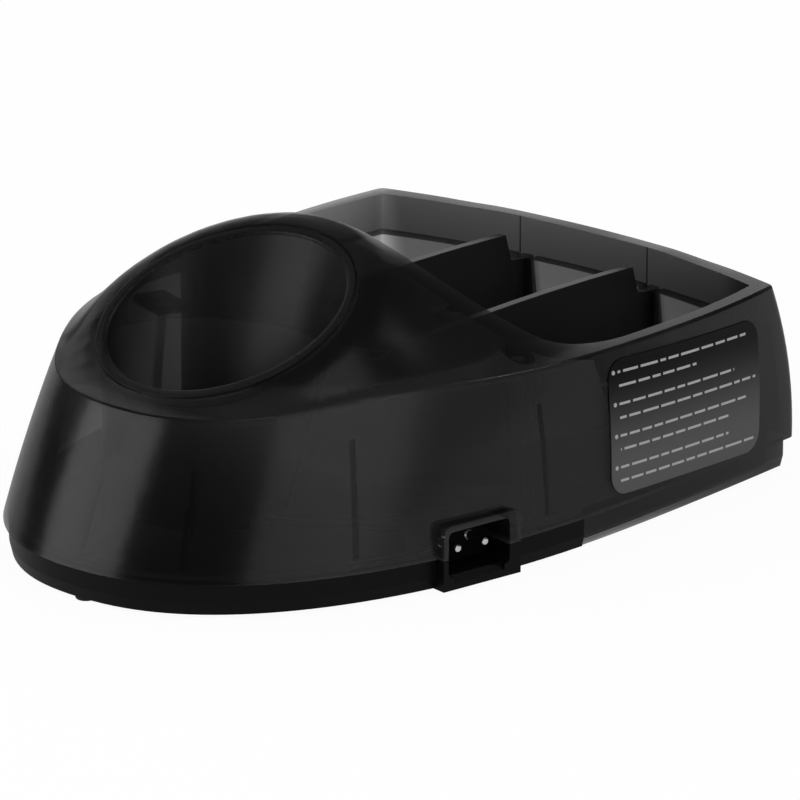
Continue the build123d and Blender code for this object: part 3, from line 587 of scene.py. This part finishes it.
class STAND_OT_stage(bpy.types.Operator):
    """Set the floor, the lamps and the camera round the stand"""

    bl_idname = "stand.stage"
    bl_label = "Stage"

    def execute(self, context):
        stage = context.scene.stand_stage
        self.camera(context, stage)
        self.floor(context, stage)
        self.world(context, stage)
        for name, settings in LAMPS.items():
            self.lamp(name, *settings)
        context.scene.view_settings.view_transform = "Standard"
        return {"FINISHED"}

    def camera(self, context, stage):
        """The camera, on the side of the inlet and the label."""
        data = bpy.data.cameras.new("photo_camera")
        data.sensor_fit = "HORIZONTAL"
        data.sensor_width = SENSOR_WIDTH
        data.lens = stage.lens
        data.clip_end = CLIP_END
        away = way_out(stage.azimuth, stage.elevation)
        context.scene.camera = aim(
            "photo_camera", data, Vector(stage.target), away, stage.distance)

    def floor(self, context, stage):
        """A wide pale floor just under the feet."""
        mesh = bpy.data.meshes.new("floor")
        corners = [(-1, -1), (1, -1), (1, 1), (-1, 1)]
        mesh.from_pydata([(x * FLOOR_HALF, y * FLOOR_HALF, FLOOR_HEIGHT) for x, y in corners],
                         [], [(0, 1, 2, 3)])
        mesh.materials.append(self.floor_finish(stage))
        floor = bpy.data.objects.new("floor", mesh)
        context.scene.collection.objects.link(floor)

    def floor_finish(self, stage):
        """White where it is seen, grey for light and shadow, and dimmer in reflections."""
        material, tree, shader = new_material("pale_floor")
        shader.inputs["Base Color"].default_value = FLOOR_COLOUR
        shader.inputs["Roughness"].default_value = FLOOR_ROUGHNESS
        glow = add_node(tree, "ShaderNodeEmission", {"Strength": stage.floor_glow})
        path = add_node(tree, "ShaderNodeLightPath").outputs
        # Polished faces mirror the floor ahead of the nose, and less of it beside the label.
        place = split_node(tree, place_node(tree))
        aside = math_node(tree, "SUBTRACT", place["X"], place["Y"])
        ahead = math_node(tree, "MULTIPLY", fade_node(tree, aside, *FLOOR_ASIDE),
                          fade_node(tree, place["Y"], *FLOOR_AHEAD))
        lit = math_node(tree, "MULTIPLY_ADD", ahead, stage.floor_mirror - stage.floor_dim,
                        stage.floor_dim)
        mirrored = math_node(tree, "MULTIPLY", path["Is Glossy Ray"], lit)
        seen = math_node(tree, "MAXIMUM", seen_node(tree, path), mirrored)
        share = math_node(tree, "MULTIPLY", seen, 1 - stage.floor_shade)
        mix = add_node(tree, "ShaderNodeMixShader")
        for value, target in zip((share, shader.outputs[0], glow.outputs[0]), mix.inputs):
            feed(tree, value, target)
        feed(tree, mix.outputs[0], tree.nodes["Material Output"].inputs["Surface"])
        return material

    def world(self, context, stage):
        """A white backdrop behind the stand, in a room that is dark in reflections."""
        world = bpy.data.worlds.new("studio")
        world.use_nodes = True
        tree = world.node_tree
        path = add_node(tree, "ShaderNodeLightPath").outputs
        way = place_node(tree, "Generated")
        back = (-sin(stage.azimuth), cos(stage.azimuth), 0)
        toward = vector_node(tree, "DOT_PRODUCT", way, back)
        upward = fade_node(tree, split_node(tree, way)["Z"], *BACKDROP_TOP)
        behind = fade_node(tree, toward.outputs["Value"], *BACKDROP_SIDES)
        drop = math_node(tree, "MULTIPLY", upward, behind)
        mirrored = math_node(tree, "MULTIPLY_ADD", drop, 1 - stage.dark_room, stage.dark_room)
        glossy = math_node(tree, "SUBTRACT", mirrored, stage.room_light)
        strength = math_node(tree, "MULTIPLY_ADD", path["Is Glossy Ray"], glossy,
                             stage.room_light)
        shown = math_node(tree, "SUBTRACT", 1, strength)
        strength = math_node(tree, "MULTIPLY_ADD", seen_node(tree, path), shown, strength)
        background = tree.nodes["Background"]
        background.inputs["Color"].default_value = (1, 1, 1, 1)
        feed(tree, strength, background.inputs["Strength"])
        context.scene.world = world

    def lamp(self, name, azimuth, elevation, distance, width, height, glow):
        """A soft rectangular lamp whose brightness doesn't depend on its size."""
        data = bpy.data.lights.new(name, "AREA")
        data.shape = "RECTANGLE"
        data.size = width
        data.size_y = height
        data.energy = glow * pi * width * height
        aim(name, data, LAMP_AIM, way_out(radians(azimuth), radians(elevation)), distance)


class STAND_OT_shell(bpy.types.Operator):
    """Give the smoked shell its finish"""

    bl_idname = "stand.shell"
    bl_label = "Smoked shell"

    def execute(self, context):
        finishes = context.scene.stand_finishes
        finish_node("upper_housing", smoked(
            "smoked_shell", finishes.smoke_colour, finishes, density=finishes.smoke_density,
            haze=finishes.smoke_haze, roughness=finishes.smoke_roughness, specular=0.6))
        return {"FINISHED"}


class STAND_OT_pocket(bpy.types.Operator):
    """Give the clipper's pocket its finish"""

    bl_idname = "stand.pocket"
    bl_label = "Clipper pocket"

    def execute(self, context):
        finishes = context.scene.stand_finishes
        finish_node("pocket_liner", smoked(
            "smoked_cup", finishes.cup_colour, finishes,
            density=finishes.smoke_density * CUP_SMOKE, haze=0.6, roughness=0.34,
            specular=0.25))
        return {"FINISHED"}


class STAND_OT_base(bpy.types.Operator):
    """Give the base cover its finish"""

    bl_idname = "stand.base"
    bl_label = "Base cover"

    def execute(self, context):
        finishes = context.scene.stand_finishes
        finish_node("base_cover", plastic(
            "base_plastic", finishes.base_colour, roughness=0.4, bump=0.04, specular=0.1))
        return {"FINISHED"}


class STAND_OT_dividers(bpy.types.Operator):
    """Give the two dividers their finish"""

    bl_idname = "stand.dividers"
    bl_label = "Dividers"

    def execute(self, context):
        finishes = context.scene.stand_finishes
        material = plastic(
            "divider_plastic", finishes.divider_colour, roughness=0.3, bump=0.02, specular=0.4)
        for side in ("left", "right"):
            finish_node(f"{side}_divider", material)
        return {"FINISHED"}


class STAND_OT_label(bpy.types.Operator):
    """Give the side label its film and its ruled lines"""

    bl_idname = "stand.label"
    bl_label = "Side label"

    def execute(self, context):
        finishes = context.scene.stand_finishes
        film = finishes.label_colour
        material = plastic("label_film", film, roughness=0.35, bump=0.01, specular=0.15)
        tree = material.node_tree
        ruled = add_node(tree, "ShaderNodeGroup", {"Place": place_node(tree)},
                         node_tree=bpy.data.node_groups.get("ruled_print") or print_group())
        # Painted shade: the film darkens towards the label's top.
        film_with_painted_shade = add_node(tree, "ShaderNodeMix", {
            "Factor": ruled.outputs["Depth"],
            "A": (*(LABEL_PAINTED_SHADE_SHARE * tone for tone in film), 1), "B": (*film, 1)},
            data_type="RGBA")
        ink = add_node(tree, "ShaderNodeMix", {
            "Factor": ruled.outputs["Mask"],
            "A": film_with_painted_shade.outputs["Result"], "B": (*finishes.print_colour, 1)},
            data_type="RGBA")
        shader = tree.nodes["Principled BSDF"]
        feed(tree, ink.outputs["Result"], shader.inputs["Base Color"])
        finish_node("side_label", material)
        return {"FINISHED"}


class STAND_OT_inlet(bpy.types.Operator):
    """Give the charger inlet and its pins their finish"""

    bl_idname = "stand.inlet"
    bl_label = "Charger inlet"

    def execute(self, context):
        finishes = context.scene.stand_finishes
        plating = metal("pin_plating", finishes.plating_colour, roughness=0.18)
        finish_node("inlet_insert", plastic(
            "insert_plastic", finishes.base_colour, roughness=0.6, bump=0.08, specular=0.05))
        for place in ("front", "rear"):
            finish_node(f"inlet_pin_{place}", plating)
        return {"FINISHED"}


class STAND_OT_contacts(bpy.types.Operator):
    """Give the charging contacts, their block, springs, terminals and leads their finish"""

    bl_idname = "stand.contacts"
    bl_label = "Charging contacts"

    def execute(self, context):
        finishes = context.scene.stand_finishes
        plating = metal("contact_plating", finishes.plating_colour, roughness=0.2)
        steel = metal("spring_steel", finishes.steel_colour, roughness=0.3)
        brass = metal("terminal_brass", finishes.brass_colour, roughness=0.35)
        cover = plastic("lead_cover", finishes.lead_colour, roughness=0.5, bump=0.05)
        finish_node("contact_block", plastic(
            "block_plastic", finishes.base_colour, roughness=0.5, bump=0.08))
        for side in ("left", "right"):
            finish_node(f"contact_pin_{side}", plating)
            self.spring(side, steel)
            finish_node(f"terminal_{side}", brass)
            finish_node(f"lead_{side}", cover)
        return {"FINISHED"}

    def spring(self, side, steel):
        """A smooth copy of the spring's wire, in place of the carried-over spring."""
        node = f"contact_spring_{side}"
        merged = bmesh.new()
        merged.from_mesh(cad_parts[node].data)
        bmesh.ops.remove_doubles(merged, verts=merged.verts, dist=0.001 * MM)
        mesh = bpy.data.meshes.new(f"coil_{side}")
        merged.to_mesh(mesh)
        merged.free()
        mesh.shade_smooth()
        mesh.set_sharp_from_angle(angle=COIL_EDGE)
        mesh.materials.append(steel)
        coil = bpy.data.objects.new(f"coil_{side}", mesh)
        bpy.context.scene.collection.objects.link(coil)
        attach(coil, "root")
        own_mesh(coil)
        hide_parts(node)


class STAND_OT_screws(bpy.types.Operator):
    """Set the screws of the housing and of the contact block"""

    bl_idname = "stand.screws"
    bl_label = "Screws"

    def execute(self, context):
        finishes = context.scene.stand_finishes
        zinc = metal("screw_zinc", finishes.steel_colour, roughness=0.32)
        tree = screw_tree()
        low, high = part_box("housing_screws")
        places = [(x * MM, y * MM, low[2]) for x, y in SCREW_PLACES]
        screws = grown("pan_screws", places, tree, {"Finish": zinc})
        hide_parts("housing_screws")
        small = {
            "Head Radius": 1.7 * MM, "Head Height": 1.2 * MM,
            "Shank Radius": 0.9 * MM, "Shank Length": 4.5 * MM,
            "Thread Pitch": 0.6 * MM, "Thread Depth": 0.1 * MM,
            "Drive Width": 0.4 * MM, "Drive Length": 1.9 * MM, "Drive Depth": 0.5 * MM,
            "Finish": zinc}
        low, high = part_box("block_screws")
        middle = (low[1] + high[1]) / 2
        inset = small["Head Radius"]
        places = [(low[0] + inset, middle, low[2]), (high[0] - inset, middle, low[2])]
        screws = grown("small_screws", places, tree, small)
        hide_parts("block_screws")
        return {"FINISHED"}


class STAND_PT_panel(bpy.types.Panel):
    """The stand's pieces, finishes and stage"""

    bl_label = "Charging stand"
    bl_space_type = "VIEW_3D"
    bl_region_type = "UI"
    bl_category = "Stand"

    def draw(self, context):
        for operator in OPERATORS:
            self.layout.operator(operator.bl_idname)
        for group in (context.scene.stand_finishes, context.scene.stand_stage):
            for name in group.__annotations__:
                self.layout.prop(group, name)


OPERATORS = (
    STAND_OT_stage, STAND_OT_shell, STAND_OT_pocket, STAND_OT_base, STAND_OT_dividers,
    STAND_OT_label, STAND_OT_inlet, STAND_OT_contacts, STAND_OT_screws)
CLASSES = (StandFinishes, StandStage, *OPERATORS, STAND_PT_panel)


def register():
    """Make the finishes, the stage, the operators and the panel known."""
    for each in CLASSES:
        bpy.utils.register_class(each)
    bpy.types.Scene.stand_finishes = bpy.props.PointerProperty(type=StandFinishes)
    bpy.types.Scene.stand_stage = bpy.props.PointerProperty(type=StandStage)


def unregister():
    """Take back what register did."""
    del bpy.types.Scene.stand_stage
    del bpy.types.Scene.stand_finishes
    for each in reversed(CLASSES):
        bpy.utils.unregister_class(each)


def main():
    """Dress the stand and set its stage."""
    register()
    bpy.ops.stand.stage()
    bpy.ops.stand.shell()
    bpy.ops.stand.pocket()
    bpy.ops.stand.base()
    bpy.ops.stand.dividers()
    bpy.ops.stand.label()
    bpy.ops.stand.inlet()
    bpy.ops.stand.contacts()
    bpy.ops.stand.screws()


if __name__ == "__main__":
    main()
